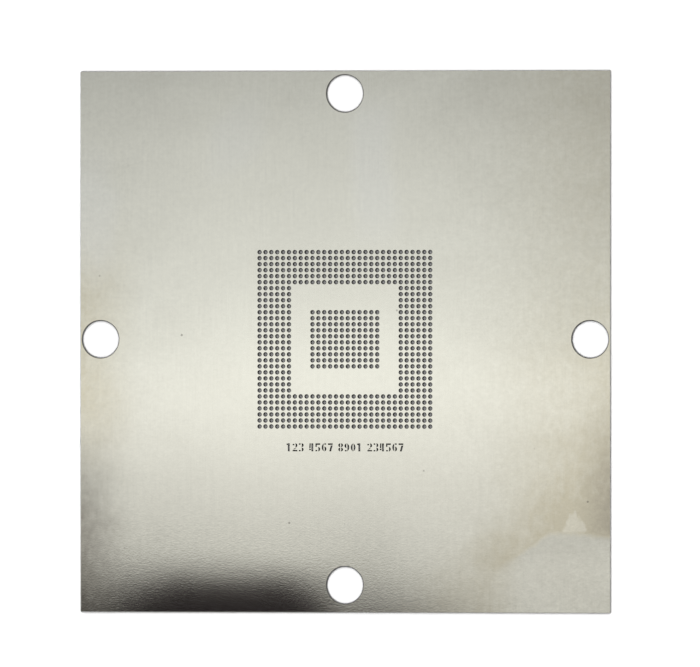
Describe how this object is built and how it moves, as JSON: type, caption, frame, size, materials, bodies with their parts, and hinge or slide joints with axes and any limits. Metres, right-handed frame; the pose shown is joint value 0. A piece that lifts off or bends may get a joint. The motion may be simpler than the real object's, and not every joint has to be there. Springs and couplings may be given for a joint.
{
  "type": "solder paste stencil",
  "caption": "Flat square stainless sheet, cut through with a ball-grid field of round apertures, locating holes at its edges and a row of plain digits.",
  "frame": {"origin": "middle of the underside of the sheet, on the surface it lies on", "axes": "+Z out of the upper face; +X and +Y along the sheet's sides, with the row of digits on the -Y side of the aperture field"},
  "size_m": [0.09, 0.09, 0.0004],
  "materials": {
    "stainless_sheet": "satin rolled stainless steel with faint heat stains and fine vertical grain"
  },
  "bodies": {
    "root": {"stencil_sheet": "stainless_sheet"}
  },
  "joints": []
}
